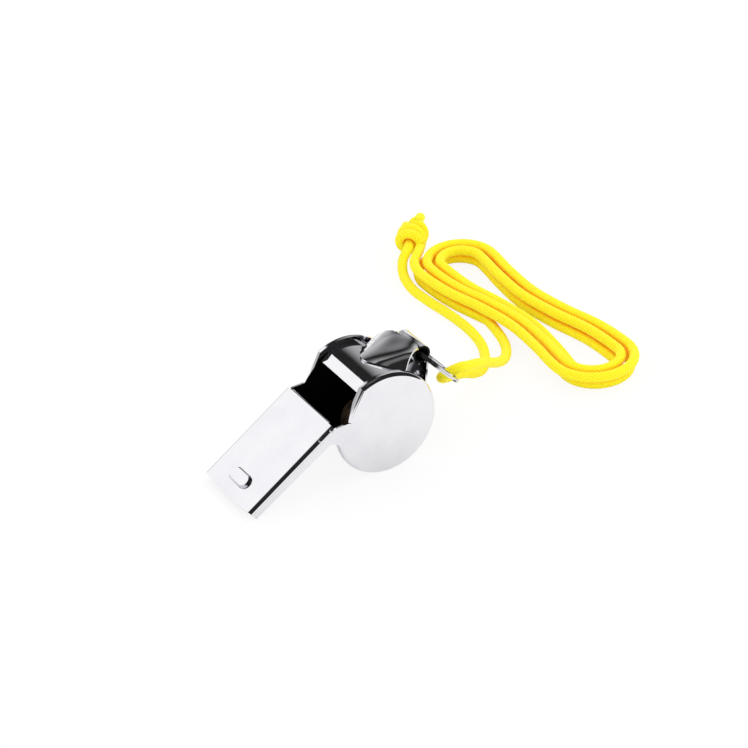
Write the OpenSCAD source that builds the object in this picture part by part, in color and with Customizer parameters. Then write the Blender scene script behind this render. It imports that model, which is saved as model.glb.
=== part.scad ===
// Pea whistle pressed from sheet steel, with a split ring and a knotted cord.
// The pieces are drawn in the whistle's own frame and then laid down as the whistle rests.
// Whistle's own frame: origin on the barrel's axis halfway across, -X to the mouth, +Z to the roof.
// Part's frame: +Z up, origin on the ground under the middle of the metal parts.

/* [Barrel and side plates] */
// Diameter of the round side plates
plate_d = 24; // [20:0.5:30]
// Height of the plates' rims above the barrel
rim_proud = 1.2; // [1:0.1:1.6]
// Width over both side plates
body_w = 19.7; // [17:0.1:24]
// Thickness of the pressed sheet
sheet_t = 0.45; // [0.3:0.05:0.6]
// Width of a plate's rim, along the barrel
rim_w = 1.65; // [1.3:0.05:2]
// Radius of the rounded edge of a side plate
rim_round = 1; // [0.6:0.1:1.1]
// Thickness of the rim beside the window
rim_lip = 0.5; // [0.3:0.05:0.6]
// Length of the ground flat that makes the blowing lip
lip_len = 2.6; // [1.5:0.1:3.5]
// Thickness of the blowing lip at its edge
lip_edge = 0.12; // [0.08:0.02:0.2]

/* [Mouthpiece] */
// Length from the barrel's axis to the front corners
mouth_len = 34.1; // [28:0.1:42]
// Bulge of the roof's curved front edge
mouth_bulge = 0.8; // [0.3:0.1:2]
// Height of the mouthpiece at its tip
tip_h = 2.4; // [2.4:0.1:3.2]
// Height of the mouthpiece at its neck
neck_h = 3; // [2.6:0.1:4]
// Radius of the curve from the floor to the barrel
neck_r = 2; // [1:0.1:3]
// Radius of the roof's rounded side edges
roof_round = 0.95; // [0.7:0.05:1.2]
// Length of the window, from the roof's rear edge to the lip
window_len = 8.9; // [7:0.1:11]
// Height of the windway
windway_h = 1; // [0.8:0.05:1]
// Length of the tooth grip, across the roof
grip_len = 6.8; // [4:0.1:10]
// Width of the tooth grip
grip_w = 3.4; // [2.4:0.1:5]
// Height of the tooth grip
grip_h = 0.7; // [0.4:0.05:1.2]
// Distance from the front corners to the middle of the grip
grip_set = 4.1; // [3:0.1:8]

/* [Ring hood] */
// Distance of the sleeve behind the barrel's axis
sleeve_x = 15.8; // [15:0.1:18]
// Height of the sleeve above the barrel's axis
sleeve_z = 1.5; // [0:0.1:3]
// Length of the sleeve
sleeve_len = 8; // [5:0.1:9]
// Outside diameter of the sleeve
sleeve_d = 4.2; // [4.2:0.1:5]
// Bore of the sleeve
sleeve_bore = 3.2; // [3.2:0.1:3.4]
// Angle of the hood's front point round the barrel
hood_front_a = 57; // [50:1:62]
// Angle of the hood's front corners round the barrel
hood_side_a = 24; // [18:1:32]
// Angle of the back wall's foot below the barrel's middle
hood_foot_a = 18; // [12:1:24]
// Width of the hood across its front corners
hood_w = 15.2; // [12:0.1:16]
// Outward curve of the hood's flanks
hood_crown = 1.4; // [0.5:0.1:2]

/* [Split ring] */
// Outside diameter of the split ring
ring_d = 15.5; // [15.3:0.1:16]
// Width of the ring's wire, across the ring
wire_w = 0.9; // [0.7:0.05:1]
// Thickness of one turn of the wire
wire_t = 0.5; // [0.4:0.05:0.6]
// Lean of the ring, back from square to the roof
ring_lean = 8; // [4:1:12]

/* [Cork ball] */
// Diameter of the cork ball
ball_d = 11; // [9:0.1:12]
// Play between the ball and the barrel
ball_gap = 0.3; // [0.2:0.05:0.5]

/* [Cord] */
// Diameter of the cord
cord_d = 2.3; // [2:0.05:2.35]
// Least gap between neighbouring turns of the hank
cord_gap = 0.42; // [0.41:0.01:0.5]
// Half length of the hank's straight runs
hank_run = 25.5; // [24:0.5:28]
// Half width of the hank's outermost turn
hank_half_w = 10.6; // [10.4:0.1:12]
// How far the hank is drawn in at its waist
hank_waist = 2.6; // [1.5:0.1:2.6]
// Sideways bow of the hank, to each side
hank_bow = 3.6; // [3:0.1:3.8]
// Turn of the hank from square across the whistle
hank_lean = 4.5; // [0:0.5:6]
// Length of the cord's cut tails
tail_len = 5; // [3:0.5:8]

/* [Hidden] */
steel = "#c9cbce";
cork = "#b98a5a";
yellow = "#f2e21c";
// Gap between soldered pieces, and the overrun of every cut
seat = 0.03;
over = 1;

plate_r = plate_d / 2;
barrel_r = plate_r - rim_proud;
inner_r = barrel_r - sheet_t;
half_w = body_w / 2;
band_half_w = half_w - sheet_t - seat;
tip_z = barrel_r - tip_h;
neck_z = barrel_r - neck_h;
cheek_z = barrel_r - roof_round - seat;
lip_z = inner_r + lip_edge;

// The window's side: the cheek dips to the point where the plate's rim starts
dip_x = -window_len * 0.67;
dip_z = cheek_z - (barrel_r - cheek_z) * 1.65;
rim_slope = 28;
rim_full_x = -window_len * 0.24;

// Seam between the barrel band and the floor band, under the hood's foot
seam_a = -20;
seam_gap_a = seat / barrel_r * 180 / PI;
neck_steps = 20;

// How the whistle lies: on its plates' rims and on the front edge of its floor
tip_reach = sqrt(mouth_len * mouth_len + tip_z * tip_z);
tilt = asin(plate_r / tip_reach) + atan(tip_z / mouth_len);

// The ring rides in the sleeve with equal room inside and outside its arc
ring_r = ring_d / 2;
ring_in_r = ring_r - wire_w;
ring_mid_r = ring_r - wire_w / 2;
ring_set = (sqrt(ring_in_r * ring_in_r - sleeve_len * sleeve_len / 4) + ring_r) / 2;
ring_h = 2 * wire_t;
hang_a = ring_lean + tilt;
sleeve_rest_x = sleeve_x * cos(tilt) - sleeve_z * sin(tilt);
sleeve_rest_z = sleeve_x * sin(tilt) + sleeve_z * cos(tilt) + plate_r;
front_x = -(mouth_len + mouth_bulge) * cos(tilt) - barrel_r * sin(tilt);
back_x = sleeve_rest_x + (ring_set + ring_r) * sin(hang_a) + ring_h / 2 * cos(hang_a);
rest_x = -(front_x + back_x) / 2;

/* [Hidden] */
// Lays a piece of the whistle down as it rests
module at_rest() {
    translate([rest_x, 0, plate_r]) rotate([0, -tilt, 0]) children();
}

// Sheet bent round an axis across the whistle, from one angle to another
module bent_sheet(r_in, r_out, from_a, to_a, half) {
    rotate([90, 0, 0]) rotate([0, 0, from_a])
        rotate_extrude(angle = to_a - from_a, $fn = 120)
            translate([r_in, -half]) square([r_out - r_in, 2 * half]);
}

// Solid across the whistle with an outline drawn in X and Z
module across(y_from, y_to, outline) {
    translate([0, y_to, 0]) rotate([90, 0, 0]) linear_extrude(y_to - y_from) polygon(outline);
}

// Rod across the whistle
module rod(x, z, r, half) {
    translate([x, half, z]) rotate([90, 0, 0]) cylinder(r = r, h = 2 * half, $fn = 96);
}

// Centre of the curve that joins the floor to a round of the given radius
function neck_x(round_r) = -sqrt((round_r + neck_r) * (round_r + neck_r) - (neck_z - neck_r) * (neck_z - neck_r));

// Side plates

// Everything below the slope beside the window, with a rounded outer edge when edge_r is set
module below_slope(drop, edge_r) {
    reach = 2 * plate_d;
    translate([dip_x, 0, dip_z]) rotate([0, -rim_slope, 0]) {
        translate([-reach, -half_w - over, -reach - edge_r - drop])
            cube([2 * reach, 2 * rim_w + over, reach]);
        translate([-reach, -half_w + edge_r, -reach - drop])
            cube([2 * reach, 2 * rim_w, reach]);
        if (edge_r > 0)
            translate([-reach, -half_w + edge_r, -edge_r - drop])
                rotate([0, 90, 0]) cylinder(r = edge_r, h = 2 * reach, $fn = 64);
    }
}

// Round plate with its rounded edge and rim, before the barrel's room is cut out
module plate_blank() {
    translate([0, -half_w + rim_w, 0]) rotate([90, 0, 0]) difference() {
        union() {
            cylinder(r = plate_r - rim_round, h = rim_w, $fn = 160);
            cylinder(r = plate_r, h = rim_w - rim_round, $fn = 160);
            translate([0, 0, rim_w - rim_round])
                rotate_extrude($fn = 160) translate([plate_r - rim_round, 0]) circle(r = rim_round, $fn = 48);
        }
        translate([0, 0, -rim_round - over])
            cylinder(r = plate_r + over, h = rim_round + over, $fn = 160);
    }
}

// Cheek of the mouthpiece and its curve into the round plate
module cheek() {
    touch_share = plate_r / (plate_r + neck_r);
    difference() {
        across(-half_w, -half_w + sheet_t, [
            [-mouth_len, tip_z], [-mouth_len, cheek_z], [-window_len + roof_round / 3, cheek_z],
            [dip_x, dip_z], [0, 0], [neck_x(plate_r) * touch_share, (neck_z - neck_r) * touch_share],
            [neck_x(plate_r), neck_z]
        ]);
        rod(neck_x(plate_r), neck_z - neck_r, neck_r, half_w + over);
    }
}

module side_plate() {
    color(steel) {
        difference() {
            intersection() {
                plate_blank();
                below_slope(0, rim_round);
            }
            intersection() {
                rod(0, 0, barrel_r + seat, half_w - sheet_t);
                below_slope(rim_lip, 0);
            }
            rim_taper();
        }
        cheek();
    }
}

// Slanted cut that lets the rim grow from nothing beside the window
module rim_taper() {
    translate([0, 0, 0]) linear_extrude(plate_r + over) polygon([
        [dip_x, -half_w + sheet_t], [rim_full_x, -half_w + rim_w], [rim_full_x, -half_w + rim_w + over],
        [-plate_r * 0.75, -half_w + rim_w + over], [-plate_r * 0.75, -half_w + sheet_t]
    ]);
}

module side_plate_right() { at_rest() side_plate(); }
module side_plate_left() { at_rest() mirror([0, 1, 0]) side_plate(); }

// Mouthpiece

// Curved front edge of the roof, as the round that it is cut from
module front_round() {
    front_r = (half_w * half_w + mouth_bulge * mouth_bulge) / (2 * mouth_bulge);
    translate([front_r - mouth_len - mouth_bulge, 0, tip_z - over])
        cylinder(r = front_r, h = tip_h + grip_h + 2 * over, $fn = 360);
}

// Rounded side edge of the roof, on the near side
module roof_edge() {
    length = mouth_len + mouth_bulge - window_len;
    translate([-mouth_len - mouth_bulge, -half_w + roof_round, barrel_r - roof_round])
        rotate([90, 0, 90]) rotate([0, 0, 90]) difference() {
            cylinder(r = roof_round, h = length, $fn = 64);
            translate([0, 0, -over]) cylinder(r = roof_round - sheet_t, h = length + 2 * over, $fn = 64);
            translate([-roof_round - over, -over, -over])
                cube([roof_round + over, roof_round + 2 * over, length + 2 * over]);
            translate([-over, -roof_round - over, -over])
                cube([roof_round + 2 * over, roof_round + over, length + 2 * over]);
        }
}

// Pill shape across the roof with sloping sides
module pill(length, width, height, slope) {
    for (side = [-1, 1])
        translate([0, side * (length - width) / 2, 0])
            cylinder(r1 = width / 2, r2 = width / 2 - slope, h = height, $fn = 32);
}

// Grip pressed up from the roof, hollow below
module tooth_grip() {
    crease = grip_h * 0.4;
    translate([-mouth_len + grip_set, 0, barrel_r]) difference() {
        union() {
            hull() pill(grip_len, grip_w, grip_h - crease, crease / 3);
            translate([0, 0, grip_h - crease])
                hull() pill(grip_len - crease / 1.5, grip_w - crease / 1.5, crease, crease);
        }
        translate([0, 0, -over])
            hull() pill(grip_len - 2 * sheet_t, grip_w - 2 * sheet_t, over + grip_h - sheet_t, sheet_t);
    }
}

module mouthpiece_roof() {
    at_rest() color(steel) {
        intersection() {
            difference() {
                union() {
                    translate([-mouth_len - mouth_bulge, -half_w + roof_round, barrel_r - sheet_t])
                        cube([mouth_len + mouth_bulge - window_len, 2 * (half_w - roof_round), sheet_t]);
                    roof_edge();
                    mirror([0, 1, 0]) roof_edge();
                }
                translate([-mouth_len + grip_set, 0, barrel_r - sheet_t - over])
                    hull() pill(grip_len - 2 * sheet_t, grip_w - 2 * sheet_t, sheet_t + 2 * over, 0);
            }
            front_round();
        }
        tooth_grip();
        rod(-window_len, barrel_r - sheet_t, sheet_t, half_w - 2 * roof_round);
    }
}

module windway_tongue() {
    top_z = barrel_r - sheet_t - windway_h;
    at_rest() color(steel)
        across(-band_half_w, band_half_w, [
            [-mouth_len + roof_round, top_z], [-window_len - roof_round / 2, top_z],
            [-window_len - roof_round / 2, top_z - sheet_t], [-mouth_len + roof_round, top_z - sheet_t]
        ]);
}

// Bands of the barrel

// Floor of the mouthpiece and its curve, ending inside the barrel's sheet
function neck_curve(r, turn_a, steps) = [for (i = [0 : steps - 1])
    let (a = 90 - (90 + turn_a) * i / steps) [neck_x(barrel_r) + r * cos(a), neck_z - neck_r + r * sin(a)]];
function backwards(list) = [for (i = [len(list) - 1 : -1 : 0]) list[i]];

module floor_band() {
    turn_a = atan2(neck_z - neck_r, -neck_x(barrel_r));
    radial = [-cos(turn_a), sin(turn_a)];
    lap_a = 2;
    at_rest() color(steel) {
        difference() {
            across(-band_half_w, band_half_w, concat(
                [[-mouth_len, tip_z]], neck_curve(neck_r, turn_a, neck_steps),
                [(barrel_r - sheet_t / 8) * radial, (inner_r + sheet_t / 8) * radial],
                backwards(neck_curve(neck_r + sheet_t, turn_a, neck_steps)), [[-mouth_len, tip_z + sheet_t]]
            ));
            for (side = [-1, 1])
                translate([0, side * half_w, 0]) rotate([90, 0, 0])
                    cylinder(r = plate_r + seat, h = 2 * (rim_w + seat), center = true, $fn = 160);
        }
        bent_sheet(inner_r, barrel_r, 180 - turn_a - lap_a, 360 + seam_a - seam_gap_a, band_half_w);
    }
}

module barrel_band() {
    at_rest() color(steel) difference() {
        bent_sheet(inner_r, barrel_r, seam_a, 90, band_half_w);
        translate([-over, -half_w, lip_z]) cube([lip_len + over, body_w, barrel_r]);
    }
}

// Ring hood

skin_steps = 12;
skin_rows = 16;
hood_up = [sin(atan2(barrel_r - sleeve_z, sleeve_x) * 0.85), 0, cos(atan2(barrel_r - sleeve_z, sleeve_x) * 0.85)];
lap_r = barrel_r + sheet_t + 2 * seat;
foot_rise = sleeve_z + lap_r * sin(hood_foot_a);
foot_run = sleeve_x - lap_r * cos(hood_foot_a);
wall_a = atan2(foot_rise, foot_run) - asin(sleeve_d / 2 / norm([foot_rise, foot_run]));

// Point on the sleeve's outside at an angle, a share of the way to its end
function on_sleeve(a, share) = let (r = sleeve_d / 2 - seat / 2)
    [sleeve_x + r * cos(a), share * sleeve_len / 2, sleeve_z + r * sin(a)];

// Point on the barrel, one sheet up, at an angle round it and a place across it
function on_barrel(a, y) = [lap_r * cos(a), y, lap_r * sin(a)];

// Hood's top: straight lines from its pointed front edge to the sleeve, curved out at the flanks
function hood_top(along, side) = let (
    spread = pow(abs(side), 1.7),
    front = on_barrel(hood_front_a - (hood_front_a - hood_side_a) * spread, side * hood_w / 2),
    back = on_sleeve(60 + 19 * side * side, side),
    crown = hood_crown * 4 * along * (1 - along) * side * side
) front * (1 - along) + back * along + crown * hood_up;

// Back wall: straight lines from the sleeve down to its wide foot on the barrel
function hood_back(along, side) =
    on_sleeve(wall_a - 90, side) * (1 - along) + on_barrel(-hood_foot_a, side * hood_w / 2) * along;

// Closed skin between a grid of points and the same grid moved by a vector
module skin(top, move, steps, rows) {
    count = (steps + 1) * (rows + 1);
    points = concat(top, [for (p = top) p + move]);
    function at(i, j) = i * (rows + 1) + j;
    faces = concat(
        [for (i = [0 : steps - 1], j = [0 : rows - 1]) each
            [[at(i, j), at(i + 1, j + 1), at(i + 1, j)], [at(i, j), at(i, j + 1), at(i + 1, j + 1)],
            [count + at(i, j), count + at(i + 1, j), count + at(i + 1, j + 1)],
            [count + at(i, j), count + at(i + 1, j + 1), count + at(i, j + 1)]]],
        [for (i = [0 : steps - 1]) each
            [[at(i, 0), count + at(i + 1, 0), count + at(i, 0)], [at(i, 0), at(i + 1, 0), count + at(i + 1, 0)],
            [at(i, rows), count + at(i, rows), count + at(i + 1, rows)],
            [at(i, rows), count + at(i + 1, rows), at(i + 1, rows)]]],
        [for (j = [0 : rows - 1]) each
            [[at(0, j), count + at(0, j), count + at(0, j + 1)], [at(0, j), count + at(0, j + 1), at(0, j + 1)],
            [at(steps, j), count + at(steps, j + 1), count + at(steps, j)],
            [at(steps, j), at(steps, j + 1), count + at(steps, j + 1)]]]
    );
    polyhedron(points, faces);
}

module ring_hood() {
    at_rest() color(steel) {
        skin([for (i = [0 : skin_steps], j = [0 : skin_rows]) hood_top(i / skin_steps, 2 * j / skin_rows - 1)],
            -sheet_t * hood_up, skin_steps, skin_rows);
        skin([for (i = [0 : skin_steps], j = [0 : skin_rows]) hood_back(i / skin_steps, 2 * j / skin_rows - 1)],
            sheet_t * [-sin(wall_a), 0, cos(wall_a)], skin_steps, skin_rows);
        difference() {
            rod(sleeve_x, sleeve_z, sleeve_d / 2, sleeve_len / 2);
            rod(sleeve_x, sleeve_z, sleeve_bore / 2, sleeve_len / 2 + over);
        }
    }
}

// Split ring: two turns of flat wire, joined by a step

step_from = 276;
step_a = 20;
bevel = 0.12;

// Section of the wire, with bevelled corners, at the ring's radius, made smaller all round by a margin
module wire_section(margin) {
    w = wire_w / 2 - margin;
    t = wire_t / 2 - margin;
    translate([ring_mid_r, 0]) polygon([
        [bevel - w, -t], [w - bevel, -t], [w, bevel - t], [w, t - bevel],
        [w - bevel, t], [bevel - w, t], [-w, t - bevel], [-w, bevel - t]
    ]);
}

module wire_slice(a, z) {
    rotate([0, 0, a]) translate([0, 0, z]) rotate_extrude(angle = 1, $fn = 360) wire_section(seat / 2);
}

module split_ring() {
    turn_z = wire_t / 2 - seat / 3;
    at_rest() color(steel)
        translate([sleeve_x, 0, sleeve_z]) rotate([0, 90 - ring_lean, 0]) translate([ring_set, 0, 0]) {
            rotate([0, 0, step_from + step_a])
                translate([0, 0, -turn_z]) rotate_extrude(angle = 360 - step_a, $fn = 120) wire_section(0);
            rotate([0, 0, step_from + step_a])
                translate([0, 0, turn_z]) rotate_extrude(angle = 360 - step_a, $fn = 120) wire_section(0);
            for (part = [0 : 3]) hull() {
                wire_slice(step_from - 2 + (step_a + 3) * part / 4, turn_z * (part / 2 - 1));
                wire_slice(step_from - 2 + (step_a + 3) * (part + 1) / 4, turn_z * ((part + 1) / 2 - 1));
            }
        }
}

module cork_ball() {
    drop = inner_r - ball_gap - ball_d / 2;
    color(cork) translate([rest_x, 0, plate_r - drop]) sphere(d = ball_d, $fn = 96);
}

// Cord

cord_r = cord_d / 2;
lead_sides = 8;
hank_sides = 6;

function unit(v) = v / norm(v);
function tangent(path, i) = unit(path[min(i + 1, len(path) - 1)] - path[max(i - 1, 0)]);

// Tube round a path, as one closed skin of triangles
module tube(path, r, sides) {
    rings = len(path);
    points = [for (i = [0 : rings - 1])
        let (along = tangent(path, i), side = unit(cross([0, 0, 1], along)), up = cross(along, side))
        for (k = [0 : sides - 1]) path[i] + r * (cos(360 * k / sides) * side + sin(360 * k / sides) * up)];
    function at(i, k) = i * sides + k % sides;
    faces = concat(
        [for (i = [0 : rings - 2], k = [0 : sides - 1]) each
            [[at(i, k), at(i + 1, k + 1), at(i, k + 1)], [at(i, k), at(i + 1, k), at(i + 1, k + 1)]]],
        [for (k = [1 : sides - 2]) [at(0, 0), at(0, k), at(0, k + 1)]],
        [for (k = [1 : sides - 2]) [at(rings - 1, 0), at(rings - 1, k + 1), at(rings - 1, k)]]
    );
    polyhedron(points, faces);
}

// Hank: turns spiral in on top, come down along a run, and spiral out on the ground
hank_x = 63.2;
hank_y = 25.2;
arc_steps = 7;
run_steps = 5;
turn_steps = 2 * (arc_steps + run_steps);
first_step = arc_steps - 2;
drop_from = 2 * turn_steps + 2;
middle_step = drop_from + run_steps / 2;
last_step = 4 * turn_steps + 4;
hank_pitch = (cord_d + cord_gap) * 1.1;
layer_z = cord_d + cord_gap;
bow_reach = 24;
knot_r = cord_d + 0.2;
knot_z = knot_r + cord_r;
top_z = layer_z + cord_r;

function hank_a(n) = hank_half_w - hank_pitch * min(n, 2 * middle_step - n) / turn_steps;

// Place round a stadium with half width a, at step k of a turn, against the clock
function stadium(k, a) =
    k < arc_steps ? [a * cos(180 * k / arc_steps), hank_run + a * sin(180 * k / arc_steps)]
    : k < arc_steps + run_steps ? [-a, hank_run * (1 - 2 * (k - arc_steps) / run_steps)]
    : k < 2 * arc_steps + run_steps ? let (b = 180 + 180 * (k - arc_steps - run_steps) / arc_steps)
        [a * cos(b), -hank_run + a * sin(b)]
    : [a, hank_run * (2 * (k - 2 * arc_steps - run_steps) / run_steps - 1)];

function draw_in(p) = let (c = abs(p.y) < hank_run ? cos(90 * p.y / hank_run) : 0)
    [p.x - sign(p.x) * hank_waist * c * c, p.y];

function hank_z(n) = top_z - layer_z * max(0, min(1, (n - drop_from) / run_steps));

function bowed(p) = [p.x - hank_bow * sin(90 * max(-1, min(1, p.y / bow_reach))), p.y];

function hank_point(n) = let (p = bowed(draw_in(stadium((n + first_step) % turn_steps, hank_a(n)))))
    [hank_x + p.x * cos(hank_lean) + p.y * sin(hank_lean),
    hank_y - p.x * sin(hank_lean) + p.y * cos(hank_lean), hank_z(n)];

hank_start_dir = let (d = hank_point(0) - hank_point(1)) unit([d.x, d.y, 0]);
hank_face = let (p = hank_point(0) + 1.5 * cord_d * hank_start_dir) [p.x, p.y, knot_z];
hank_end_dir = unit(hank_point(last_step) - hank_point(last_step - 1));
hank_path = concat([hank_face, hank_face - cord_d * hank_start_dir],
    [for (n = [0 : last_step]) hank_point(n)], [hank_point(last_step) + cord_d * hank_end_dir]);

// Knot: the cord's near end runs straight through, and its far end is wound round it
knot_dir = hank_start_dir;
knot_side = [-knot_dir.y, knot_dir.x, 0];
knot_gap = cord_d + cord_gap;
knot_face = hank_face + knot_gap * knot_side;
knot_turns = 2;
knot_len = knot_turns * (cord_d + 0.3) + cord_r;

function wound(share) = let (
    ease = max(0, min(1, (share - 0.05) / 0.95)),
    a = 180 - 360 * (knot_turns + 0.25) * ease,
    r = knot_gap + (knot_r - knot_gap) * min(1, 6 * ease)
) knot_face + knot_dir * (knot_len * share) + r * (-cos(a) * -knot_side + sin(a) * [0, 0, 1]);

tail_dir = unit(knot_dir + [-0.7, 0.6, -0.35]);
knot_core = [knot_face, knot_face + knot_dir * (knot_len / 2), knot_face + knot_dir * knot_len,
    knot_face + knot_dir * (knot_len + cord_r) + tail_dir * (tail_len / 2),
    knot_face + knot_dir * (knot_len + cord_r) + tail_dir * tail_len];
knot_rings = 30;
knot_wrap = concat([for (i = [0 : knot_rings]) wound(i / knot_rings)],
    [wound(1) + cord_r * unit(knot_side * -2 + knot_dir * 2 + [0, 0, 0.2]),
    wound(1) + cord_d * unit(knot_side * -1 + knot_dir * 2),
    wound(1) + cord_d * unit(knot_side * -1 + knot_dir * 2) + tail_len / 2 * unit(knot_dir * 3 - [0, 0, 1])]);

// Lead: from the hank to the ring, round the ring's far end and back to the knot
bight_r = 3.4;
bight_at = [rest_x + sleeve_rest_x + (ring_set + ring_mid_r) * sin(hang_a) + 0.2, 0,
    sleeve_rest_z - (ring_set + ring_mid_r) * cos(hang_a) + 0.2];
bight_across = unit([0, -0.7, 0.714]);
bight_rings = 8;
bight = [for (i = [0 : bight_rings]) let (a = 180 * i / bight_rings)
    bight_at + bight_r * (cos(a) * bight_across - sin(a) * [1, 0, 0])];

lead_out = [
    [54.4, 22.5, 1.15], [53, 17.8, 1.4], [50.6, 13.4, 2.1], [47.3, 9.4, 3.6], [43.3, 5.8, 6.2], [38.8, 2.3, 9.6],
    [34, -0.8, 12.6], [30.6, -2.2, 13.9]
];
lead_back = [
    [30.5, 2.5, 9.3], [34, 4.2, 7.6], [38.3, 7, 4.6], [42.5, 10.5, 2.3], [46, 15, 1.3], [48.6, 20.5, 1.15],
    [49.7, 26.5, 1.15], [49.8, 32.5, 1.15], [49.3, 38.5, 1.15], [48.6, 44.5, 1.15], [48.4, 50.5, 1.2],
    [49.5, 56, 1.7], [51.7, 60, 2.8]
];
lead_path = concat([hank_path[len(hank_path) - 1], hank_path[len(hank_path) - 1] + cord_d * hank_end_dir],
    lead_out, bight, lead_back, [knot_face - cord_d * knot_dir, knot_face]);

module lanyard_lead() { color(yellow) tube(lead_path, cord_r, lead_sides); }
module lanyard_hank() { color(yellow) tube(hank_path, cord_r, hank_sides); }
module lanyard_knot() {
    color(yellow) {
        tube(knot_core, cord_r, lead_sides);
        tube(knot_wrap, cord_r, hank_sides);
    }
}

// Lengths and least gap of the cord, measured on points along its middle
function length_of(path, i = 0, sum = 0) = i >= len(path) - 1 ? sum
    : length_of(path, i + 1, sum + norm(path[i + 1] - path[i]));
function finer(path) = [for (i = [0 : len(path) - 2], s = [0 : 3]) path[i] * (1 - s / 4) + path[i + 1] * s / 4];
module report_cord() {
    fine = finer(hank_path);
    far = [for (i = [0 : len(fine) - 1], j = [i + 12 : 1 : len(fine) - 1]) norm(fine[i] - fine[j])];
    echo(hank_length = length_of(hank_path), lead_length = length_of(lead_path));
    echo(hank_least_gap = min(far) - cord_d);
}

side_plate_right();
side_plate_left();
mouthpiece_roof();
windway_tongue();
floor_band();
barrel_band();
ring_hood();
split_ring();
cork_ball();
lanyard_lead();
lanyard_hank();
lanyard_knot();
report_cord();
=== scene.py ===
import math

import bmesh
import bpy
from mathutils import Matrix, Vector


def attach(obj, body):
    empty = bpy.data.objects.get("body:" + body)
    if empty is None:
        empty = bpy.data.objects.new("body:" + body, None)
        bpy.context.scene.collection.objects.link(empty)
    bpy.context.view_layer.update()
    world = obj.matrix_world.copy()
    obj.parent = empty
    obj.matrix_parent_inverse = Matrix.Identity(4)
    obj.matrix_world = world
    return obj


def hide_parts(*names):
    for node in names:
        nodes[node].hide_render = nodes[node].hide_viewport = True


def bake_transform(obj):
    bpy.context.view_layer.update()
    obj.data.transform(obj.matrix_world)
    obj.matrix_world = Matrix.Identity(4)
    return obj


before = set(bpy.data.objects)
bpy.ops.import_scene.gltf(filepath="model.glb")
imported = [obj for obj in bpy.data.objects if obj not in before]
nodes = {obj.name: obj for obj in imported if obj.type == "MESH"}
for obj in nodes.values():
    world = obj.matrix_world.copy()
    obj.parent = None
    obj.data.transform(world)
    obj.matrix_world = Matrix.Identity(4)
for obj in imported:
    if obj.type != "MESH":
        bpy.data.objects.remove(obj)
scene = bpy.context.scene
mm = 0.001
upward = Vector((0, 0, 1))
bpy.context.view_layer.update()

# The whistle lies tilted about its barrel's axis, which runs along Y through this point
axisAt = Vector((6.36818, 0, 12)) * mm
tilt = math.radians(33.8184)


def toWhistle(p):
    # a point of the scene in the whistle's own frame, in mm: -X to the mouth, +Z to the roof
    return Matrix.Rotation(tilt, 3, "Y") @ (Vector(p) - axisAt) / mm


def turnToWhistle(v):
    return Matrix.Rotation(tilt, 3, "Y") @ Vector(v)


cameraSetup = {
    "right": (0.85992, -0.50883, -0.04035),
    "up": (0.30458, 0.44808, 0.84051),
    "back": (-0.40960, -0.73506, 0.54029),
    "distance": 0.83333,  # m, from the barrel's axis
    "lens": 186.85,       # mm, on a sensor 36 mm wide
    "shift": (0.01247, 0.03892),
}


def makeCamera(cfg):
    data = bpy.data.cameras.new("photoCamera")
    data.lens = cfg["lens"]
    data.sensor_width = 36
    data.shift_x, data.shift_y = cfg["shift"]
    data.clip_start, data.clip_end = 0.05, 20
    cam = bpy.data.objects.new("photoCamera", data)
    scene.collection.objects.link(cam)
    right, up, back = (Vector(cfg[k]).normalized() for k in ("right", "up", "back"))
    place = axisAt + back * cfg["distance"]
    cam.matrix_world = Matrix.Translation(place) @ Matrix((right, up, back)).transposed().to_4x4()
    scene.camera = cam


makeCamera(cameraSetup)
print("camera placed")


def hexColour(code):
    parts = [int(code[i:i + 2], 16) / 255 for i in (1, 3, 5)]
    return tuple(c / 12.92 if c <= 0.04045 else ((c + 0.055) / 1.055) ** 2.4 for c in parts) + (1,)


def perMm(size):
    # the scale of a pattern whose features are size mm apart, on coordinates in metres
    return 1 / (size * mm)


def addNode(tree, kind, settings=None, inputs=None):
    # adds a node; inputs are values or the output sockets of other nodes
    node = tree.nodes.new(kind)
    for key, value in (settings or {}).items():
        setattr(node, key, value)
    for key, value in (inputs or {}).items():
        if isinstance(value, bpy.types.NodeSocket):
            tree.links.new(value, node.inputs[key])
        else:
            node.inputs[key].default_value = value
    return node


def newMaterial(name):
    mat = bpy.data.materials.new(name)
    mat.use_nodes = True
    mat.node_tree.nodes.clear()
    return mat, mat.node_tree


def finishMaterial(tree, shader):
    addNode(tree, "ShaderNodeOutputMaterial", inputs={"Surface": shader.outputs[0]})


def newPiece(name, bm):
    mesh = bpy.data.meshes.new(name)
    bm.to_mesh(mesh)
    bm.free()
    obj = bpy.data.objects.new(name, mesh)
    scene.collection.objects.link(obj)
    return obj


cord = {
    "diameter": 2.3,       # mm
    "sides": 18,
    "smooth": 5,           # rings between two points of the route
    "colour": "#fffa24",
    "shade": "#ffd010",    # painted shade in the grooves between strands
    "paintedCreaseShade": "#ffb000",     # painted shade, a darker orange, where turns lie close together
    "paintedCreaseReach": 3.0,      # mm
    "glow": "#ffcc00",     # painted glow, which lifts and warms the cord's shaded sides
    "paintedGlowStrength": 0.09,
    "strands": 8,          # braid strands each way round
    "ridge": 0.18,         # mm, height of a strand
    "fuzz": 1.1,           # mm between tufts
    "fuzzShare": 0.3,      # what the tufts add to the strands' light and dark
    "softness": 1.2,       # mm that light goes into the fibres
}

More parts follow.
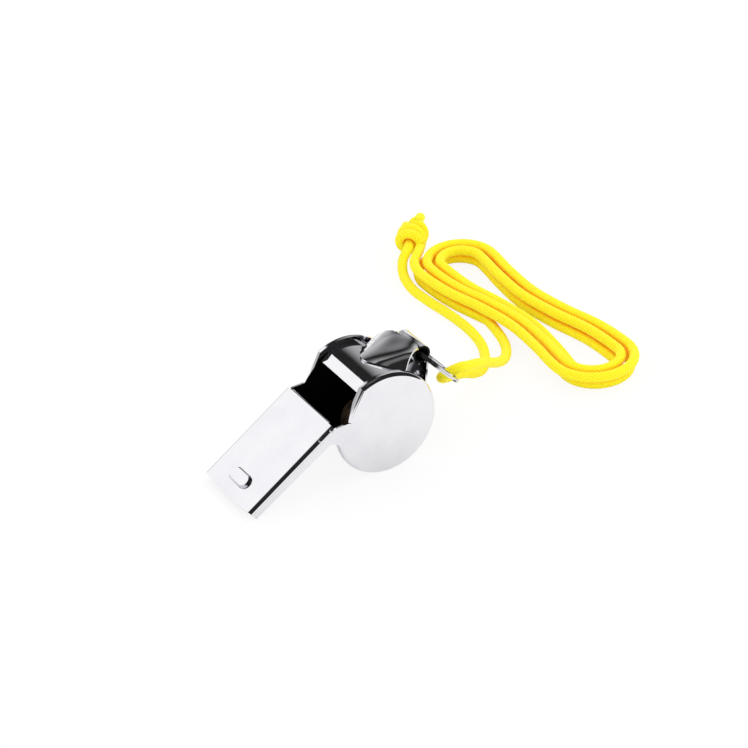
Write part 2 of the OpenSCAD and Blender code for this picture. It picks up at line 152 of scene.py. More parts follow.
# The hank's turns, in mm: round a stadium that spirals in on top and out on the ground
hank = {
    "centre": (63.2, 25.2),
    "run": 25.5,           # half of a straight run
    "halfWidth": 10.6,
    "waist": 2.6,          # how far the runs are drawn in at their middle
    "bow": 3.6,            # how far its ends are bowed to one side and the other
    "bowReach": 24,        # from the hank's middle to where the bow is full
    "lean": 4.5,           # degrees
    "gap": 0.42,           # between the two layers
    "sidePitch": 1.1,      # from turn to turn, in heights of a layer
    "arcSteps": 7, "runSteps": 5,
    "knotAway": 1.5,       # from the first turn to the knot's face, in diameters
    "knotLift": 0.2,
}


def makeHankPath(h, d):
    # the route of the hank, the way its start points, and the knot's face there
    arcs, runs, run = h["arcSteps"], h["runSteps"], h["run"]
    turn = 2 * (arcs + runs)
    first = arcs - 2                 # the step of the round at which the hank starts
    dropFrom = 2 * turn + 2          # the step at which it goes down to the lower layer
    middle = dropFrom + runs / 2
    last = 4 * turn + 4              # two rounds and a bit in each layer
    layer = d + h["gap"]
    pitch = layer * h["sidePitch"]
    lean = math.radians(h["lean"])

    def place(n):
        k = (n + first) % turn
        a = h["halfWidth"] - pitch * min(n, 2 * middle - n) / turn
        if k < arcs:
            t = math.pi * k / arcs
            x, y = a * math.cos(t), run + a * math.sin(t)
        elif k < arcs + runs:
            x, y = -a, run * (1 - 2 * (k - arcs) / runs)
        elif k < 2 * arcs + runs:
            t = math.pi + math.pi * (k - arcs - runs) / arcs
            x, y = a * math.cos(t), -run + a * math.sin(t)
        else:
            x, y = a, run * (2 * (k - 2 * arcs - runs) / runs - 1)
        drawn = math.cos(math.pi / 2 * y / run) ** 2 if abs(y) < run else 0
        x -= math.copysign(h["waist"] * drawn, x)
        x -= h["bow"] * math.sin(math.pi / 2 * max(-1, min(1, y / h["bowReach"])))
        z = d / 2 + layer - layer * max(0, min(1, (n - dropFrom) / runs))
        return Vector((h["centre"][0] + x * math.cos(lean) + y * math.sin(lean),
                       h["centre"][1] - x * math.sin(lean) + y * math.cos(lean), z))

    points = [place(n) for n in range(last + 1)]
    startDir = points[0] - points[1]
    startDir.z = 0
    startDir.normalize()
    endDir = (points[-1] - points[-2]).normalized()
    face = points[0] + h["knotAway"] * d * startDir
    face.z = 2 * d + h["knotLift"] - d / 2
    return [face, face - d * startDir] + points + [points[-1] + d * endDir], startDir, face


hankPath, knotDir, hankFace = makeHankPath(hank, cord["diameter"])

# The near strand runs through the knot, and the far strand winds round it; in mm
knot = {
    "turns": 2, "overTurn": 0.25,
    "space": 0.3,          # between the winding's turns
    "reach": 2.5,          # from the near strand's middle line to the winding's
    "gap": 2.72,           # between the two strands' middle lines
    "lead": 0.05,          # share of the knot before the winding starts
    "settle": 6,           # how soon the winding draws in, the more the sooner
    "tail": 5.0, "tailLean": (-0.7, 0.6, -0.35),
    "tailEnd": (0.88, 0.55),  # radii of the tail's last rings, in shares of the full one
    "rings": 40, "smooth": 3,
}
knotSide = Vector((-knotDir.y, knotDir.x, 0))
knotFace = hankFace + knot["gap"] * knotSide
knotLength = knot["turns"] * (cord["diameter"] + knot["space"]) + cord["diameter"] / 2


def woundPoint(share):
    ease = max(0, min(1, (share - knot["lead"]) / (1 - knot["lead"])))
    t = math.radians(180 - 360 * (knot["turns"] + knot["overTurn"]) * ease)
    r = knot["gap"] + (knot["reach"] - knot["gap"]) * min(1, knot["settle"] * ease)
    return knotFace + knotDir * knotLength * share + r * (math.cos(t) * knotSide + math.sin(t) * upward)


def makeKnotRoutes(d):
    tail = knot["tail"]
    tailDir = (knotDir + Vector(knot["tailLean"])).normalized()
    turnAt = knotFace + knotDir * (knotLength + d / 2)
    core = [knotFace, knotFace + knotDir * knotLength / 2, knotFace + knotDir * knotLength,
            turnAt + tailDir * tail / 2, turnAt + tailDir * tail]
    end = woundPoint(1)  # from here the wound strand bends out of the winding and down to its cut end
    bent = (knotDir * 2 - knotSide * 2 + upward * 0.2).normalized()
    aside = (knotDir * 2 - knotSide).normalized()
    wrap = [woundPoint(i / knot["rings"]) for i in range(knot["rings"] + 1)]
    wrap += [end + d / 2 * bent, end + d * aside,
             end + d * aside + tail / 2 * (knotDir * 3 - upward).normalized()]
    return core, wrap


# The lead, in mm: from the bight round the ring's far wire out to the hank, and back to the knot
bight = {
    "centre": (28.1651, 0, 11.8395), "radius": 3.4, "across": (0, -0.7, 0.714), "steps": 8,
    "taut": 1.2,           # how far the loop is drawn up to the wire
}
leadOut = [(54.4, 22.5, 1.15), (53, 17.8, 1.4), (50.6, 13.4, 2.1), (47.3, 9.4, 3.6), (43.3, 5.8, 6.2),
           (38.8, 2.3, 9.6), (34, -0.8, 12.6), (30.6, -2.2, 13.9)]
leadBack = [(30.5, 2.5, 9.3), (34, 4.2, 7.6), (38.3, 7, 4.6), (42.5, 10.5, 2.3), (46, 15, 1.3),
            (48.6, 20.5, 1.15), (49.7, 26.5, 1.15), (49.8, 32.5, 1.15), (49.3, 38.5, 1.15),
            (48.6, 44.5, 1.15), (48.4, 50.5, 1.2), (49.5, 56, 1.7), (51.7, 60, 2.8)]


def bightPoints(b):
    centre = Vector(b["centre"]) + Vector((b["taut"], 0, 0))
    across = Vector(b["across"]).normalized()
    angles = [math.pi * i / b["steps"] for i in range(b["steps"] + 1)]
    return [centre + b["radius"] * (math.cos(a) * across - math.sin(a) * Vector((1, 0, 0))) for a in angles]


def smoothed(points, steps):
    # a smooth curve through the route's points
    pts = [Vector(p) for p in points]
    out = []
    for i in range(len(pts) - 1):
        p0, p1, p2 = pts[max(i - 1, 0)], pts[i], pts[i + 1]
        p3 = pts[min(i + 2, len(pts) - 1)]
        span = (p2 - p1).length
        m1 = (p2 - p0) * span / max((p2 - p1).length + (p1 - p0).length, 1e-6)
        m2 = (p3 - p1) * span / max((p3 - p2).length + (p2 - p1).length, 1e-6)
        for s in range(steps):
            t = s / steps
            out.append((2 * t ** 3 - 3 * t ** 2 + 1) * p1 + (t ** 3 - 2 * t ** 2 + t) * m1
                       + (3 * t ** 2 - 2 * t ** 3) * p2 + (t ** 3 - t ** 2) * m2)
    out.append(pts[-1])
    return out


def sweptTube(name, routes, cfg, endShares=()):
    # a tube round each route, with UV: x along the cord and y round it, both in turns of its girth;
    # endShares are the last rings' radii as shares of the full one, for an end that rounds off
    bm = bmesh.new()
    uvLayer = bm.loops.layers.uv.new("UVMap")
    radius, sides = cfg["diameter"] / 2 * mm, cfg["sides"]
    girth = math.pi * cfg["diameter"] * mm
    angles = [2 * math.pi * k / sides for k in range(sides)]
    for points in routes:
        pts = [Vector(p) * mm for p in points]
        radii = [radius] * (len(pts) - len(endShares)) + [radius * share for share in endShares]
        tangents = [(pts[min(i + 1, len(pts) - 1)] - pts[max(i - 1, 0)]).normalized()
                    for i in range(len(pts))]
        side = tangents[0].cross(upward).normalized()
        along, rings = 0.0, []
        for i, (p, t) in enumerate(zip(pts, tangents)):
            side = (side - t * side.dot(t)).normalized()
            up = t.cross(side)
            if i:
                along += (p - pts[i - 1]).length
            ring = [bm.verts.new(p + radii[i] * (math.cos(a) * side + math.sin(a) * up)) for a in angles]
            rings.append((ring, along / girth))
        for (a, u0), (b, u1) in zip(rings, rings[1:]):
            for k in range(sides):
                n = (k + 1) % sides
                face = bm.faces.new((a[k], a[n], b[n], b[k]))
                face.smooth = True
                for loop, (u, v) in zip(face.loops, ((u0, k), (u0, k + 1), (u1, k + 1), (u1, k))):
                    loop[uvLayer].uv = (u, v / sides)
        bm.faces.new(list(reversed(rings[0][0])))
        bm.faces.new(rings[-1][0])
    bmesh.ops.recalc_face_normals(bm, faces=bm.faces)
    return newPiece(name, bm)


def braidHeight(tree, cfg):
    # two sets of ridges cross, and each lies on top by turns; 1 on a strand's back, 0 in a groove
    uv = addNode(tree, "ShaderNodeUVMap", {"uv_map": "UVMap"})
    split = addNode(tree, "ShaderNodeSeparateXYZ", inputs={"Vector": uv.outputs[0]})
    ridges, turns = [], []
    for way in (1, -1):
        across = addNode(tree, "ShaderNodeMath", {"operation": "MULTIPLY"},
                         {0: split.outputs["Y"], 1: way * cfg["strands"]})
        slanted = addNode(tree, "ShaderNodeMath", {"operation": "MULTIPLY_ADD"},
                          {0: split.outputs["X"], 1: cfg["strands"], 2: across.outputs[0]})
        strand = addNode(tree, "ShaderNodeMath", {"operation": "FRACT"}, {0: slanted.outputs[0]})
        off = addNode(tree, "ShaderNodeMath", {"operation": "SUBTRACT"}, {0: strand.outputs[0], 1: 0.5})
        ridges.append(addNode(tree, "ShaderNodeMath", {"operation": "MULTIPLY"},
                              {0: off.outputs[0], 1: off.outputs[0]}))
        halved = addNode(tree, "ShaderNodeMath", {"operation": "MULTIPLY"}, {0: slanted.outputs[0], 1: 0.5})
        pair = addNode(tree, "ShaderNodeMath", {"operation": "FRACT"}, {0: halved.outputs[0]})
        turns.append(addNode(tree, "ShaderNodeMath", {"operation": "GREATER_THAN"},
                             {0: pair.outputs[0], 1: 0.5}))
    apart = addNode(tree, "ShaderNodeMath", {"operation": "SUBTRACT"},
                    {0: turns[0].outputs[0], 1: turns[1].outputs[0]})
    which = addNode(tree, "ShaderNodeMath", {"operation": "ABSOLUTE"}, {0: apart.outputs[0]})
    low = addNode(tree, "ShaderNodeMix", {"data_type": "FLOAT"},
                  {0: which.outputs[0], 2: ridges[0].outputs[0], 3: ridges[1].outputs[0]})
    return addNode(tree, "ShaderNodeMath", {"operation": "MULTIPLY_ADD"},
                   {0: low.outputs[0], 1: -4.0, 2: 1.0}).outputs[0]


def braidedCordMaterial(cfg):
    # Polyester cord, braided from flat strands: each strand is a small bright ridge with painted shade in
    # its groove, painted shade darkens the creases where turns lie together, and a painted glow lifts the
    # shaded sides
    mat, tree = newMaterial("braidedPolyester")
    coords = addNode(tree, "ShaderNodeTexCoord").outputs["Object"]
    fuzz = addNode(tree, "ShaderNodeTexNoise",
                   inputs={"Vector": coords, "Scale": perMm(cfg["fuzz"]), "Detail": 3.0})
    tone = addNode(tree, "ShaderNodeMath", {"operation": "MULTIPLY_ADD"},
                   {0: fuzz.outputs["Fac"], 1: cfg["fuzzShare"], 2: braidHeight(tree, cfg)})
    # painted shade: the colour darkens from the strands' backs into the grooves between them
    ramp = addNode(tree, "ShaderNodeMapRange", inputs={0: tone.outputs[0], 1: 0.0, 2: 0.9})
    colour = addNode(tree, "ShaderNodeMix", {"data_type": "RGBA"},
                     {0: ramp.outputs[0], 6: hexColour(cfg["shade"]), 7: hexColour(cfg["colour"])})
    # painted shade: the colour turns a darker orange where ambient occlusion finds turns lying close
    # together
    near = addNode(tree, "ShaderNodeAmbientOcclusion", {"samples": 8, "only_local": True},
                   {"Distance": cfg["paintedCreaseReach"] * mm})
    openness = addNode(tree, "ShaderNodeMapRange", inputs={0: near.outputs["AO"], 1: 0.15, 2: 0.7})
    creaseShadedColour = addNode(tree, "ShaderNodeMix", {"data_type": "RGBA"},
                     {0: openness.outputs[0], 6: hexColour(cfg["paintedCreaseShade"]), 7: colour.outputs[2]})
    bump = addNode(tree, "ShaderNodeBump",
                   inputs={"Strength": 0.5, "Distance": cfg["ridge"] * mm, "Height": tone.outputs[0]})
    # painted glow: a little warm emission brightens the cord's shaded sides
    shader = addNode(tree, "ShaderNodeBsdfPrincipled", inputs={
        "Base Color": creaseShadedColour.outputs[2], "Roughness": 0.7, "Specular IOR Level": 0.3,
        "Normal": bump.outputs[0], "Sheen Weight": 0.1, "Sheen Roughness": 0.4,
        "Subsurface Weight": 0.5, "Subsurface Radius": (1.0, 0.7, 0.1),
        "Subsurface Scale": cfg["softness"] * mm,
        "Emission Color": hexColour(cfg["glow"]), "Emission Strength": cfg["paintedGlowStrength"]})
    finishMaterial(tree, shader)
    return mat


def makeCord(cfg):
    loop = bightPoints(bight)
    half = len(loop) // 2
    out = loop[half::-1] + leadOut[::-1] + hankPath[::-1]
    back = loop[half:] + leadBack + [knotFace - cfg["diameter"] * knotDir, knotFace]
    outRoute, backRoute = smoothed(out, cfg["smooth"]), smoothed(back, cfg["smooth"])
    core, wrap = makeKnotRoutes(cfg["diameter"])
    material = braidedCordMaterial(cfg)
    outer = sweptTube("cordOut", [outRoute], cfg)
    inner = sweptTube("cordBack", [backRoute], cfg)
    knotRoutes = [smoothed(core, cfg["smooth"]), smoothed(wrap, knot["smooth"])]
    tied = sweptTube("cordKnot", knotRoutes, cfg, knot["tailEnd"])
    for obj in (outer, inner, tied):
        obj.data.materials.append(material)
    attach(tied, "whistle")
    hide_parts("lanyard_knot")
    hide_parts("lanyard_lead", "lanyard_hank")
    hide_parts("lanyard_lead")
    for obj in (outer, inner):
        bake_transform(obj)


makeCord(cord)
print("cord laid")


steel = {
    "bright": "#f9f8fb", "handled": "#e8e7ec",  # the sheet where it is clean, and where fingers have been
    "paintedShadeInside": "#090909", "stain": "#1b1917",      # painted shade, near black, on the sheet's inner side, and flux stain in it
    "paintedGripReflection": "#a8a0b1",       # painted reflection, a lavender grey, on the tooth grip's slanted sides
    "wire": "#d9d9dc", "weld": "#b9b6b4",
    "polish": 0.035,         # roughness where the buffing is clean
    "smudge": 0.13,          # roughness where it has been handled
    "plated": 0.08,          # roughness of the wire's plating and of the grip's sides
    "melted": 0.12,          # roughness of a weld
    "rawRough": 0.62, "rawMetal": 0.7,          # the unpolished side
    "smearSize": 6.25, "waveSize": 7.7, "stainSize": 1.4,  # mm
    "hairSize": 0.14, "hairStretch": 0.06,      # mm across, drawn coarse to show; stretched along the sheet
    "scratchSize": 0.42, "scratchStretch": 0.03, "scratchTurn": (0.3, 0.2, 0.75),
    "hairRough": 0.03, "scratchRough": 0.12,    # what they add to the roughness
    "hairRelief": 0.006, "scratchRelief": -0.01,
    "relief": 0.1, "stainRelief": 0.05,         # mm
    "crown": 0.03,           # mm that the hood's sheet falls at 1 mm from the roll's middle
    "rollAt": -2.8,          # mm, Y of the roll's middle
}

# Where the sheets turn their inner sides, painted near black as shade, in mm in the whistle's own frame
insides = {
    "chamber": 10.55,        # radius of the barrel inside
    "mouth": -9.0,           # X ahead of which a plate closes the mouthpiece
    "plate": 9.6,            # Y short of a plate's outer face
    "roofUnder": 10.5,       # Z of the roof's underside
    "tongueTip": -33.0,      # X of the tongue's polished front edge
    "neck": -12.5,           # X where the floor turns into the belly
    "sleeve": (15.8, 1.5),   # X and Z of the sleeve's axis
    "sleeveReach": 2.3, "sleeveBore": 1.9,
    "gripX": -30.0, "gripFoot": 10.85, "gripHalf": 2.5,
}


def whistleCoords(tree):
    # Object coordinates turned into the whistle's own frame, in metres
    coords = addNode(tree, "ShaderNodeTexCoord").outputs["Object"]
    turn = Matrix.Rotation(tilt, 3, "Y")
    return addNode(tree, "ShaderNodeMapping", inputs={
        "Vector": coords, "Location": -(turn @ axisAt), "Rotation": (0, tilt, 0)}).outputs[0]


def shadeAndStainColour(tree, cfg, coords):
    # painted shade: near black, with flux stain as random tone in it
    stain = addNode(tree, "ShaderNodeTexNoise",
                    inputs={"Vector": coords, "Scale": perMm(cfg["stainSize"]), "Detail": 4.0})
    mixed = addNode(tree, "ShaderNodeMix", {"data_type": "RGBA"},
                    {0: stain.outputs["Fac"], 6: hexColour(cfg["paintedShadeInside"]), 7: hexColour(cfg["stain"])})
    return mixed.outputs[2], stain.outputs["Fac"]


def polishedSteelMaterial(cfg, name, bright, polish, insideMask=None, crown=0):
    # Stainless sheet, pressed and buffed: mirror-like, with buffing hairlines along it, a few stray
    # scratches, handling smears some 6 mm wide and the slight waviness of pressed sheet
    mat, tree = newMaterial(name)
    coords = whistleCoords(tree)
    smear = addNode(tree, "ShaderNodeTexNoise", inputs={
        "Vector": coords, "Scale": perMm(cfg["smearSize"]), "Detail": 5.0, "Roughness": 0.6})
    along = addNode(tree, "ShaderNodeMapping", inputs={
        "Vector": coords, "Scale": (cfg["hairStretch"], 1.0, 1.0)})
    hairs = addNode(tree, "ShaderNodeTexNoise", inputs={
        "Vector": along.outputs[0], "Scale": perMm(cfg["hairSize"]), "Detail": 2.0})
    slanted = addNode(tree, "ShaderNodeMapping", inputs={"Vector": coords, "Rotation": cfg["scratchTurn"]})
    thin = addNode(tree, "ShaderNodeMapping", inputs={
        "Vector": slanted.outputs[0], "Scale": (cfg["scratchStretch"], 1.0, 1.0)})
    strewn = addNode(tree, "ShaderNodeTexNoise", inputs={
        "Vector": thin.outputs[0], "Scale": perMm(cfg["scratchSize"]), "Detail": 1.0})
    scratches = addNode(tree, "ShaderNodeMapRange", inputs={0: strewn.outputs["Fac"], 1: 0.70, 2: 0.76})
    spread = addNode(tree, "ShaderNodeMapRange", inputs={
        0: smear.outputs["Fac"], 1: 0.45, 2: 0.75, 3: polish, 4: cfg["smudge"]})
    haired = addNode(tree, "ShaderNodeMath", {"operation": "MULTIPLY_ADD"},
                     {0: hairs.outputs["Fac"], 1: cfg["hairRough"], 2: spread.outputs[0]})
    rough = addNode(tree, "ShaderNodeMath", {"operation": "MULTIPLY_ADD"},
                    {0: scratches.outputs[0], 1: cfg["scratchRough"], 2: haired.outputs[0]})
    wave = addNode(tree, "ShaderNodeTexNoise", inputs={
        "Vector": coords, "Scale": perMm(cfg["waveSize"]), "Detail": 1.0})
    ripple = addNode(tree, "ShaderNodeMath", {"operation": "MULTIPLY_ADD"},
                     {0: hairs.outputs["Fac"], 1: cfg["hairRelief"], 2: wave.outputs["Fac"]})
    relief = addNode(tree, "ShaderNodeMath", {"operation": "MULTIPLY_ADD"},
                     {0: scratches.outputs[0], 1: cfg["scratchRelief"], 2: ripple.outputs[0]})
    bump = addNode(tree, "ShaderNodeBump", inputs={
        "Strength": 0.3, "Distance": cfg["relief"] * mm, "Height": relief.outputs[0]})
    if crown:
        # the sheet is rolled a little rounder across
        y = addNode(tree, "ShaderNodeSeparateXYZ", inputs={0: coords}).outputs["Y"]
        off = addNode(tree, "ShaderNodeMath", {"operation": "ADD"}, {0: y, 1: -cfg["rollAt"] * mm})
        squared = addNode(tree, "ShaderNodeMath", {"operation": "MULTIPLY"},
                          {0: off.outputs[0], 1: off.outputs[0]})
        fall = addNode(tree, "ShaderNodeMath", {"operation": "MULTIPLY"},
                       {0: squared.outputs[0], 1: -crown / mm})
        rolled = addNode(tree, "ShaderNodeBump", inputs={
            "Strength": 1.0, "Distance": 1.0, "Height": fall.outputs[0]})
        tree.links.new(rolled.outputs[0], bump.inputs["Normal"])
    tone = addNode(tree, "ShaderNodeMix", {"data_type": "RGBA"},
                   {0: smear.outputs["Fac"], 6: hexColour(bright), 7: hexColour(cfg["handled"])})
    colour, roughness, metal = tone.outputs[2], rough.outputs[0], 1.0
    if insideMask:
        mask = insideMask(tree, coords)
        # painted shade: where the mask is 1 the colour turns near black
        colour = addNode(tree, "ShaderNodeMix", {"data_type": "RGBA"},
                         {0: mask, 6: tone.outputs[2], 7: shadeAndStainColour(tree, cfg, coords)[0]}).outputs[2]
        roughness = addNode(tree, "ShaderNodeMix", {"data_type": "FLOAT"},
                            {0: mask, 2: rough.outputs[0], 3: cfg["rawRough"]}).outputs[0]
        metal = addNode(tree, "ShaderNodeMapRange", inputs={0: mask, 3: 1.0, 4: cfg["rawMetal"]}).outputs[0]
    shader = addNode(tree, "ShaderNodeBsdfPrincipled", inputs={
        "Base Color": colour, "Metallic": metal, "Roughness": roughness, "Normal": bump.outputs[0]})
    finishMaterial(tree, shader)
    return mat


def plateInsideMask(tree, coords):
    # 1 where a plate's inner side closes the barrel or the mouthpiece, 0 on the rim that stands proud
    flat = addNode(tree, "ShaderNodeVectorMath", {"operation": "MULTIPLY"}, {0: coords, 1: (1, 0, 1)})
    radius = addNode(tree, "ShaderNodeVectorMath", {"operation": "LENGTH"}, {0: flat.outputs[0]})
    chamber = addNode(tree, "ShaderNodeMath", {"operation": "LESS_THAN"},
                      {0: radius.outputs["Value"], 1: insides["chamber"] * mm})
    x = addNode(tree, "ShaderNodeSeparateXYZ", inputs={0: coords}).outputs["X"]
    mouth = addNode(tree, "ShaderNodeMath", {"operation": "LESS_THAN"}, {0: x, 1: insides["mouth"] * mm})
    return addNode(tree, "ShaderNodeMath", {"operation": "MAXIMUM"},
                   {0: chamber.outputs[0], 1: mouth.outputs[0]}).outputs[0]


def paintedShadeSteelMaterial(cfg):
    # The sheet's inner side, never buffed and painted near black as shade, with flux stain and scale
    mat, tree = newMaterial("insideInPaintedShade")
    colour, stain = shadeAndStainColour(tree, cfg, addNode(tree, "ShaderNodeTexCoord").outputs["Object"])
    bump = addNode(tree, "ShaderNodeBump", inputs={
        "Strength": 0.4, "Distance": cfg["stainRelief"] * mm, "Height": stain})
    shader = addNode(tree, "ShaderNodeBsdfPrincipled", inputs={
        "Base Color": colour, "Metallic": cfg["rawMetal"], "Roughness": cfg["rawRough"],
        "Normal": bump.outputs[0]})
    finishMaterial(tree, shader)
    return mat


# painted shade: the cork's browns are all made dark, as the ball lies in shade inside the barrel
cork = {
    "light": "#4f3a26", "deep": "#352617", "pore": "#180f08",
    "grain": 0.9, "pores": 1.9, "pitDepth": 0.2,  # mm
}


def corkMaterial(cfg):
    # Natural cork ball, its browns painted dark as shade: brown with darker pores and grain about a
    # millimetre across
    mat, tree = newMaterial("naturalCork")
    coords = addNode(tree, "ShaderNodeTexCoord").outputs["Object"]
    grain = addNode(tree, "ShaderNodeTexVoronoi", {"feature": "F1"},
                    {"Vector": coords, "Scale": perMm(cfg["grain"])})
    pores = addNode(tree, "ShaderNodeTexNoise", inputs={
        "Vector": coords, "Scale": perMm(cfg["pores"]), "Detail": 6.0, "Roughness": 0.7})
    pit = addNode(tree, "ShaderNodeMapRange", inputs={0: pores.outputs["Fac"], 1: 0.34, 2: 0.5})
    tan = addNode(tree, "ShaderNodeMix", {"data_type": "RGBA"},
                  {0: grain.outputs["Distance"], 6: hexColour(cfg["deep"]), 7: hexColour(cfg["light"])})
    tone = addNode(tree, "ShaderNodeMix", {"data_type": "RGBA"},
                   {0: pit.outputs[0], 6: hexColour(cfg["pore"]), 7: tan.outputs[2]})
    bump = addNode(tree, "ShaderNodeBump", inputs={
        "Strength": 0.6, "Distance": cfg["pitDepth"] * mm, "Height": pit.outputs[0]})
    shader = addNode(tree, "ShaderNodeBsdfPrincipled", inputs={
        "Base Color": tone.outputs[2], "Roughness": 0.85, "Normal": bump.outputs[0]})
    finishMaterial(tree, shader)
    return mat


def isInside(node, p, n):
    # True for a face of the sheet's inner side, by its middle and its normal in the whistle's frame;
    # what a normal is held against is the cosine of its slant
    outward = Vector((p.x, 0, p.z)).normalized().dot(Vector((n.x, 0, n.z)))
    if node.startswith("side_plate"):
        return abs(p.y) < insides["plate"] and n.y * p.y < 0 and abs(n.y) > 0.9
    if node == "mouthpiece_roof":
        return n.z < -0.7 and p.z < insides["roofUnder"]
    if node == "windway_tongue":
        return p.x > insides["tongueTip"]
    if node == "floor_band":
        return (n.z > 0.6 if p.x < insides["neck"] else outward < -0.6) or abs(n.y) > 0.9
    if node == "barrel_band":
        return outward < -0.9
    if node == "ring_hood":
        x, z = insides["sleeve"]
        fromSleeve = Vector((p.x - x, 0, p.z - z))
        if fromSleeve.length < insides["sleeveReach"]:
            return abs(n.y) > 0.9 or (fromSleeve.dot(n) < 0 and fromSleeve.length < insides["sleeveBore"])
        return outward < -0.2 and n.z < 0
    return False


def isGripSide(node, p, n):
    # True for the slanted sides of the tooth grip, not for its flat top or the roof round it
    onGrip = p.z > insides["gripFoot"] and abs(p.x - insides["gripX"]) < insides["gripHalf"]
    return node == "mouthpiece_roof" and onGrip and 0.05 < n.z < 0.9


def dressMetal(cfg):
    sheet = polishedSteelMaterial(cfg, "polishedStainless", cfg["bright"], cfg["polish"])
    plate = polishedSteelMaterial(cfg, "polishedPlateInside", cfg["bright"], cfg["polish"], plateInsideMask)
    hood = polishedSteelMaterial(cfg, "polishedHood", cfg["bright"], cfg["polish"], crown=cfg["crown"])
    wire = polishedSteelMaterial(cfg, "platedSpringWire", cfg["wire"], cfg["plated"])
    paintedGripReflection = polishedSteelMaterial(cfg, "gripSideInPaintedReflection", cfg["paintedGripReflection"], cfg["plated"])
    paintedShadeInside = paintedShadeSteelMaterial(cfg)
    for name, obj in nodes.items():
        if name.startswith("lanyard"):
            continue
        finishes = [{"split_ring": wire, "ring_hood": hood}.get(name, sheet),
                    plate if name.startswith("side_plate") else paintedShadeInside]
        if name == "mouthpiece_roof":
            # painted reflection: the tooth grip's slanted sides get a lavender grey
            finishes.append(paintedGripReflection)
        if name == "cork_ball":
            finishes = [corkMaterial(cork)]
        obj.data.materials.clear()
        for finish in finishes:
            obj.data.materials.append(finish)
        # faces on the sheets' inner sides take the second material, painted near black as shade
        for poly in obj.data.polygons:
            p, n = toWhistle(poly.center), turnToWhistle(poly.normal)
            poly.material_index = 2 if isGripSide(name, p, n) else int(isInside(name, p, n))
            poly.use_smooth = True
        weld = obj.modifiers.new("weld", "WELD")
        weld.merge_threshold = 0.002 * mm
        crease = obj.modifiers.new("crease", "EDGE_SPLIT")
        crease.split_angle = math.radians(30)


dressMetal(steel)
print("metal and cork dressed")


# Two spot welds on the roof's near edge, where it laps the side plate beside the window: each one's
# place and the way it faces, in mm in the whistle's own frame
weldSpots = {
    "width": 0.9, "height": 0.13,
    "places": [((-12.7, -9.56, 10.56), (0, -0.65, 0.76)), ((-9.6, -9.72, 10.34), (0, -0.88, 0.48))],
}


def makeWeldSpots(cfg):
    bm = bmesh.new()
    turnBack = Matrix.Rotation(-tilt, 4, "Y")
    squash = Matrix.Diagonal((1, 1, 2 * cfg["height"] / cfg["width"], 1))
    radius = cfg["width"] / 2 * mm
    for place, normal in cfg["places"]:
        made = bmesh.ops.create_uvsphere(bm, u_segments=20, v_segments=12, radius=radius)["verts"]
        stand = Vector(normal).to_track_quat("Z", "Y").to_matrix().to_4x4()
        lie = Matrix.Translation(axisAt) @ turnBack @ Matrix.Translation(Vector(place) * mm) @ stand @ squash
        bmesh.ops.transform(bm, matrix=lie, verts=made)
    for face in bm.faces:
        face.smooth = True
    bmesh.ops.recalc_face_normals(bm, faces=bm.faces)
    obj = newPiece("weldSpots", bm)
    obj.data.materials.append(polishedSteelMaterial(steel, "heatTintedWeld", steel["weld"], steel["melted"]))
    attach(obj, "whistle")


makeWeldSpots(weldSpots)
print("welds placed")


# What the polished metal mirrors: soft white and grey panels in a dark room, above a white floor.
# Azimuths run from +Y towards +X; lean shifts a panel's sides as it rises; top and bottom are the sines
# of its heights, and cone keeps it near the +Y direction (the cosine of its spread)
studio = {
    "dark": 0.018,
    "fill": 1.0,            # the room's light on what isn't a mirror
    "panels": [
        {"sides": (-33, 18), "lean": 30, "bottom": 0.25, "top": 0.72, "soft": (4, 0.09), "strength": 1.03},
        {"sides": (-80, -30), "lean": 30, "top": 0.66, "soft": (6, 0.05), "strength": 0.5},
        {"sides": (-5, 75), "top": 0.92, "cone": 0.90, "soft": (9, 0.07), "strength": 0.7},
        {"sides": (45, 76), "lean": 30, "top": 0.82, "soft": (11, 0.06), "strength": 0.6},
        {"sides": (-150, -70), "top": 0.36, "soft": (10, 0.09), "strength": 0.95},
        {"sides": (-200, -45), "top": 0.10, "soft": (8, 0.07), "strength": 0.75},
        {"sides": (-45, 8), "top": 0.10, "soft": (8, 0.07), "strength": 0.12},
        {"sides": (150, 200), "top": 0.12, "soft": (8, 0.07), "strength": 0.6},
        {"sides": (-200, 200), "bottom": 0.97, "top": 2, "soft": (8, 0.04), "strength": 0.16},
    ],
    "paper": "#f6f6f6", "paperGlow": 1.02,
    "seenGlow": 0.85,       # share of the glow in what the camera sees of the floor
    "mirroredGlow": 0.3,    # and in what the metal mirrors of it
    "key": {"place": (0.8, 0.1, 0.6), "aim": (0.02, 0.02, 0), "size": 0.7, "power": 1.5},  # m and watts
}


def makeFloor(cfg):
    # White paper: plain and matt, seen as white by the camera with the object's faint shadow on it
    bm = bmesh.new()
    bmesh.ops.create_grid(bm, x_segments=1, y_segments=1, size=3)
    floor = newPiece("floor", bm)
    mat, tree = newMaterial("whitePaper")
    rays = addNode(tree, "ShaderNodeLightPath")
    plain = addNode(tree, "ShaderNodeBsdfDiffuse", inputs={"Color": hexColour(cfg["paper"])})
    glow = addNode(tree, "ShaderNodeEmission", inputs={"Color": (1, 1, 1, 1), "Strength": cfg["paperGlow"]})
    seen = addNode(tree, "ShaderNodeMath", {"operation": "MULTIPLY"},
                   {0: rays.outputs["Is Camera Ray"], 1: cfg["seenGlow"]})
    share = addNode(tree, "ShaderNodeMath", {"operation": "MULTIPLY_ADD"},
                    {0: rays.outputs["Is Glossy Ray"], 1: cfg["mirroredGlow"], 2: seen.outputs[0]})
    both = addNode(tree, "ShaderNodeMixShader", inputs={
        0: share.outputs[0], 1: plain.outputs[0], 2: glow.outputs[0]})
    finishMaterial(tree, both)
    floor.data.materials.append(mat)


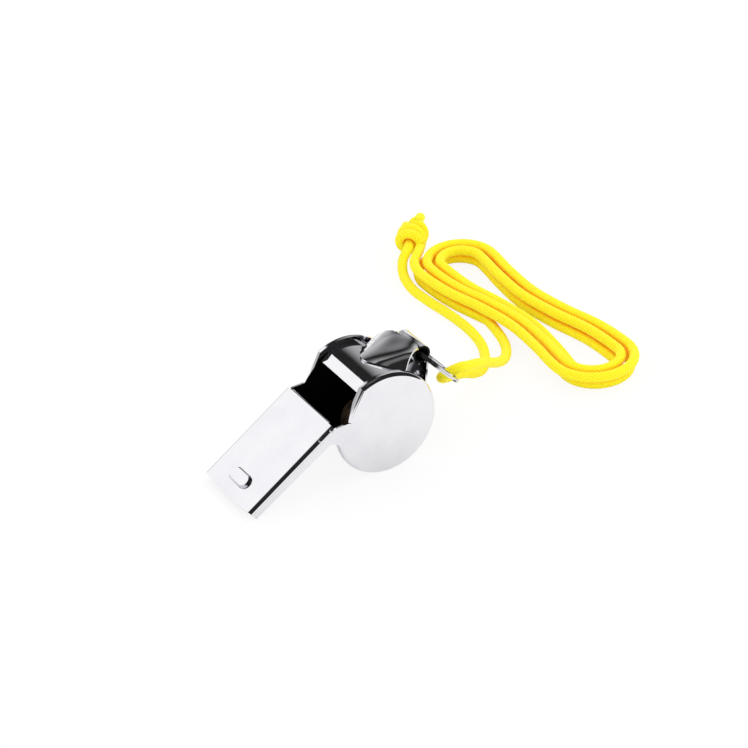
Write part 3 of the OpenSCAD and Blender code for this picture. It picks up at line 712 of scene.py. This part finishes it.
def softEdge(tree, value, at, soft, rising):
    # 1 on one side of the edge and 0 on the other: bright above it if rising, else below
    below, above = (0.0, 1.0) if rising else (1.0, 0.0)
    return addNode(tree, "ShaderNodeMapRange", {"interpolation_type": "SMOOTHSTEP"},
                   {0: value, 1: at - soft, 2: at + soft, 3: below, 4: above}).outputs[0]


def makeWorld(cfg):
    world = bpy.data.worlds.new("softPanels")
    world.use_nodes = True
    tree = world.node_tree
    tree.nodes.clear()
    direction = addNode(tree, "ShaderNodeTexCoord").outputs["Generated"]
    rays = addNode(tree, "ShaderNodeLightPath")
    parts = addNode(tree, "ShaderNodeSeparateXYZ", inputs={0: direction})
    turned = addNode(tree, "ShaderNodeMath", {"operation": "ARCTAN2"},
                     {0: parts.outputs["X"], 1: parts.outputs["Y"]})
    azimuth = addNode(tree, "ShaderNodeMath", {"operation": "DEGREES"}, {0: turned.outputs[0]}).outputs[0]
    light = cfg["dark"]
    for panel in cfg["panels"]:
        leaned = addNode(tree, "ShaderNodeMath", {"operation": "MULTIPLY_ADD"},
                         {0: parts.outputs["Z"], 1: panel.get("lean", 0), 2: azimuth}).outputs[0]
        sideSoft, topSoft = panel["soft"]
        shape = panel["strength"]
        for value, at, soft, rising in (
                (leaned, panel["sides"][0], sideSoft, True), (leaned, panel["sides"][1], sideSoft, False),
                (parts.outputs["Z"], panel.get("bottom"), topSoft, True),
                (parts.outputs["Z"], panel["top"], topSoft, False),
                (parts.outputs["Y"], panel.get("cone"), topSoft, True)):
            if at is not None:
                edge = softEdge(tree, value, at, soft, rising)
                shape = addNode(tree, "ShaderNodeMath", {"operation": "MULTIPLY"},
                                {0: shape, 1: edge}).outputs[0]
        light = addNode(tree, "ShaderNodeMath", {"operation": "MAXIMUM"}, {0: light, 1: shape}).outputs[0]
    soft = addNode(tree, "ShaderNodeMix", {"data_type": "FLOAT"},
                   {0: rays.outputs["Is Glossy Ray"], 2: cfg["fill"], 3: light})
    seen = addNode(tree, "ShaderNodeMix", {"data_type": "FLOAT"},
                   {0: rays.outputs["Is Camera Ray"], 2: soft.outputs[0], 3: 1.0})
    background = addNode(tree, "ShaderNodeBackground", inputs={
        "Color": (1, 1, 1, 1), "Strength": seen.outputs[0]})
    addNode(tree, "ShaderNodeOutputWorld", inputs={"Surface": background.outputs[0]})
    scene.world = world


def makeKeyLamp(cfg):
    data = bpy.data.lights.new("keyLamp", "AREA")
    data.size = cfg["size"]
    data.energy = cfg["power"]
    lamp = bpy.data.objects.new("keyLamp", data)
    scene.collection.objects.link(lamp)
    lamp.location = cfg["place"]
    lamp.rotation_mode = "QUATERNION"
    lamp.rotation_quaternion = (Vector(cfg["aim"]) - Vector(cfg["place"])).to_track_quat("-Z", "Y")
    lamp.visible_glossy = False


makeFloor(studio)
makeWorld(studio)
makeKeyLamp(studio["key"])
scene.view_settings.view_transform = "Standard"
print("studio lit")
